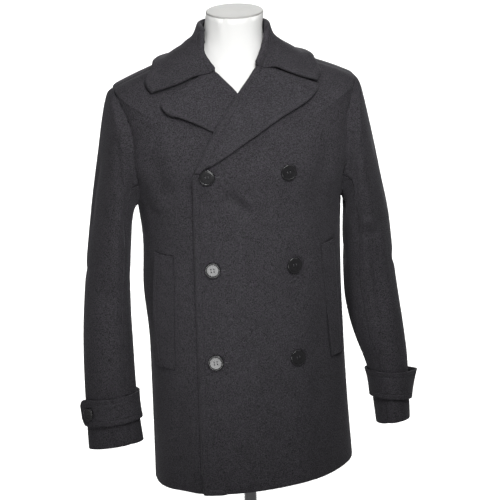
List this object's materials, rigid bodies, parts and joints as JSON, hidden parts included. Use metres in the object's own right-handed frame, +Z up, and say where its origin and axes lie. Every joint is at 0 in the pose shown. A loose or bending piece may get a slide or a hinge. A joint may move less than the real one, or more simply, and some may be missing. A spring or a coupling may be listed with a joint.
{
  "type": "pea coat on a dress form",
  "caption": "Double-breasted charcoal wool pea coat with wide lapels, upright welt pockets and strapped cuffs, on a limbless white form with a pole and round base.",
  "frame": {"origin": "centre of the round base's underside, on the floor", "axes": "+Z up, the coat's front faces -Y, the wearer's left is +X"},
  "size_m": [0.633, 0.38, 1.498],
  "materials": {
    "charcoal_melton": "charcoal melange melton wool, short nap",
    "black_buttons": "black four-hole buttons",
    "white_form": "white smooth jersey cover",
    "neck_cap": "off-white satin cap",
    "chrome": "polished chrome"
  },
  "bodies": {
    "root": {"base": "chrome", "button_left_1": "black_buttons", "button_left_2": "black_buttons", "button_left_3": "black_buttons", "button_right_1": "black_buttons", "button_right_2": "black_buttons", "button_right_3": "black_buttons", "collar": "charcoal_melton", "form_cap": "neck_cap", "form_torso": "white_form", "left_back": "charcoal_melton", "left_cuff_button": "black_buttons", "left_front": "charcoal_melton", "left_lapel": "charcoal_melton", "left_sleeve_top": "charcoal_melton", "left_sleeve_under": "charcoal_melton", "left_strap": "charcoal_melton", "left_welt": "charcoal_melton", "pole": "chrome", "right_back": "charcoal_melton", "right_cuff_button": "black_buttons", "right_front": "charcoal_melton", "right_lapel": "charcoal_melton", "right_sleeve_top": "charcoal_melton", "right_sleeve_under": "charcoal_melton", "right_strap": "charcoal_melton", "right_welt": "charcoal_melton"}
  },
  "joints": []
}
